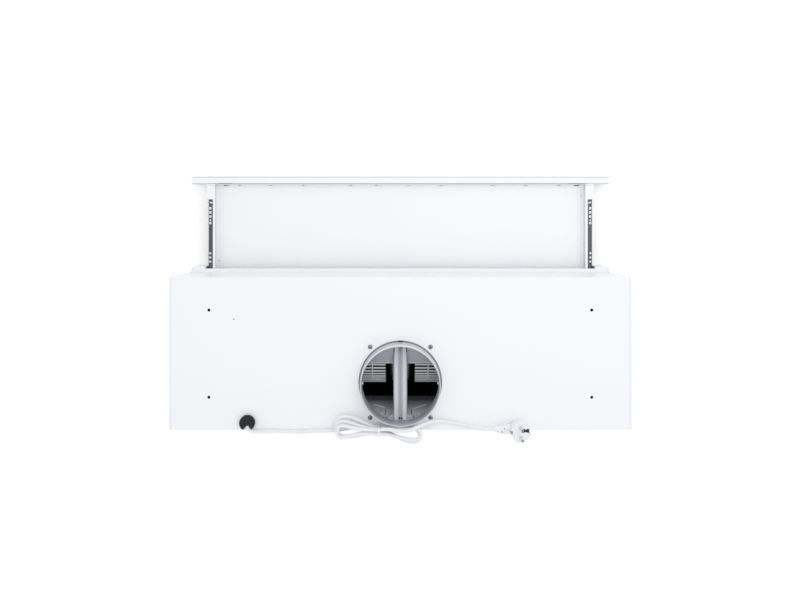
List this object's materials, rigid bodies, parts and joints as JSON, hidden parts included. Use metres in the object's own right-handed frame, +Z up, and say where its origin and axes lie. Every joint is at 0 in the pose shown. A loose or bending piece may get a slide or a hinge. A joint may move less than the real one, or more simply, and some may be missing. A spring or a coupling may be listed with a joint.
{
  "type": "range hood",
  "caption": "Slide-out range hood for a wall cabinet: white sheet steel casing, drawer on ball-bearing slides, round duct outlet on top, mains lead with plug.",
  "frame": {"origin": "under the middle of the opened hood without its lead, on the level of its lower edge", "axes": "+Z up along the duct outlet, -Y the front that the drawer slides out to, +X along the width"},
  "size_m": [0.898, 0.5247, 0.234],
  "materials": {
    "white_paint": "satin",
    "white_plastic": "satin",
    "zinc_steel": "zinc plated",
    "bright_steel": "polished",
    "collar_plastic": "matte",
    "grey_plastic": "matte",
    "button_plastic": "satin",
    "black_plastic": "matte",
    "motor_paint": "matte",
    "capacitor_plastic": "matte",
    "aluminium": "mill",
    "lens_glass": "frosted",
    "lead_vinyl": "satin",
    "tie_plastic": "satin",
    "plug_plastic": "satin",
    "pin_metal": "nickel plated"
  },
  "bodies": {
    "casing": {"casing_wrap": "white_paint", "side_panel_left": "white_paint", "side_panel_right": "white_paint", "front_trim": "white_paint", "bottom_frame": "white_paint", "rail_bracket_left": "zinc_steel", "rail_bracket_right": "zinc_steel", "slide_casing_left": "zinc_steel", "slide_casing_right": "zinc_steel", "duct_collar": "collar_plastic", "collar_screws": "zinc_steel", "blower_housing": "grey_plastic", "blower_cheeks": "grey_plastic", "blower_partition": "grey_plastic", "motor": "motor_paint", "motor_clamps": "zinc_steel", "capacitor": "capacitor_plastic", "filter_frame_left": "aluminium", "filter_frame_right": "aluminium", "filter_mesh_left": "aluminium", "filter_mesh_right": "aluminium", "lamp_cans": "zinc_steel", "lamp_bezels": "bright_steel", "lamp_lenses": "lens_glass", "cable_gland": "black_plastic", "terminal_box": "black_plastic", "mains_lead": "lead_vinyl", "lead_hank": "lead_vinyl", "hank_tie": "tie_plastic", "plug_tail": "lead_vinyl", "plug_body": "plug_plastic", "plug_pins": "pin_metal"},
    "drawer": {"slide_drawer_left": "zinc_steel", "slide_drawer_right": "zinc_steel", "drawer_strip": "white_paint", "strip_end_caps": "white_plastic", "drawer_panel": "white_paint", "drawer_bracket_left": "white_paint", "drawer_bracket_right": "white_paint", "drawer_filter_frame": "aluminium", "drawer_filter_mesh": "aluminium", "panel_screws": "zinc_steel", "button_bezel": "button_plastic", "switch_box": "black_plastic"},
    "slide_middles": {"slide_middle_left": "zinc_steel", "slide_middle_right": "zinc_steel"},
    "cages_front": {"ball_cages_front": "white_plastic", "balls_front": "bright_steel"},
    "cages_rear": {"ball_cages_rear": "white_plastic", "balls_rear": "bright_steel"},
    "button_off": {"button_off": "button_plastic"},
    "button_low": {"button_low": "button_plastic"},
    "button_medium": {"button_medium": "button_plastic"},
    "button_high": {"button_high": "button_plastic"},
    "button_light": {"button_light": "button_plastic"},
    "rotor": {"motor_shaft": "bright_steel", "impeller_left": "grey_plastic", "impeller_right": "grey_plastic"},
    "filter_latch_left": {"filter_latch_left": "black_plastic"},
    "filter_latch_right": {"filter_latch_right": "black_plastic"}
  },
  "joints": [
    {"name": "drawer_slide", "type": "slide", "parent": "casing", "child": "drawer", "axis": [0, 1, 0], "range_m": [0, 0.176]},
    {"name": "middle_slide", "type": "slide", "parent": "casing", "child": "slide_middles", "axis": [0, 1, 0], "range_m": [0, 0.088]},
    {"name": "front_cage_roll", "type": "slide", "parent": "casing", "child": "cages_front", "axis": [0, 1, 0], "range_m": [0, 0.132]},
    {"name": "rear_cage_roll", "type": "slide", "parent": "casing", "child": "cages_rear", "axis": [0, 1, 0], "range_m": [0, 0.044]},
    {"name": "rotor_spin", "type": "hinge", "parent": "casing", "child": "rotor", "pos_m": [0, 0.1275, 0.105], "axis": [1, 0, 0], "continuous": true},
    {"name": "button_off_press", "type": "slide", "parent": "drawer", "child": "button_off", "axis": [0, 1, 0], "range_m": [0, 0.0015], "stiffness_N_per_m": 400},
    {"name": "button_low_press", "type": "slide", "parent": "drawer", "child": "button_low", "axis": [0, 1, 0], "range_m": [0, 0.0015], "stiffness_N_per_m": 400},
    {"name": "button_medium_press", "type": "slide", "parent": "drawer", "child": "button_medium", "axis": [0, 1, 0], "range_m": [0, 0.0015], "stiffness_N_per_m": 400},
    {"name": "button_high_press", "type": "slide", "parent": "drawer", "child": "button_high", "axis": [0, 1, 0], "range_m": [0, 0.0015], "stiffness_N_per_m": 400},
    {"name": "button_light_press", "type": "slide", "parent": "drawer", "child": "button_light", "axis": [0, 1, 0], "range_m": [0, 0.0015], "stiffness_N_per_m": 400},
    {"name": "latch_left_slide", "type": "slide", "parent": "casing", "child": "filter_latch_left", "axis": [0, 1, 0], "range_m": [0, 0.004], "stiffness_N_per_m": 300},
    {"name": "latch_right_slide", "type": "slide", "parent": "casing", "child": "filter_latch_right", "axis": [0, 1, 0], "range_m": [0, 0.004], "stiffness_N_per_m": 300}
  ],
  "couplings": [
    {"joint": "middle_slide", "follows": "drawer_slide", "ratio": 0.5},
    {"joint": "front_cage_roll", "follows": "drawer_slide", "ratio": 0.75},
    {"joint": "rear_cage_roll", "follows": "drawer_slide", "ratio": 0.25}
  ]
}
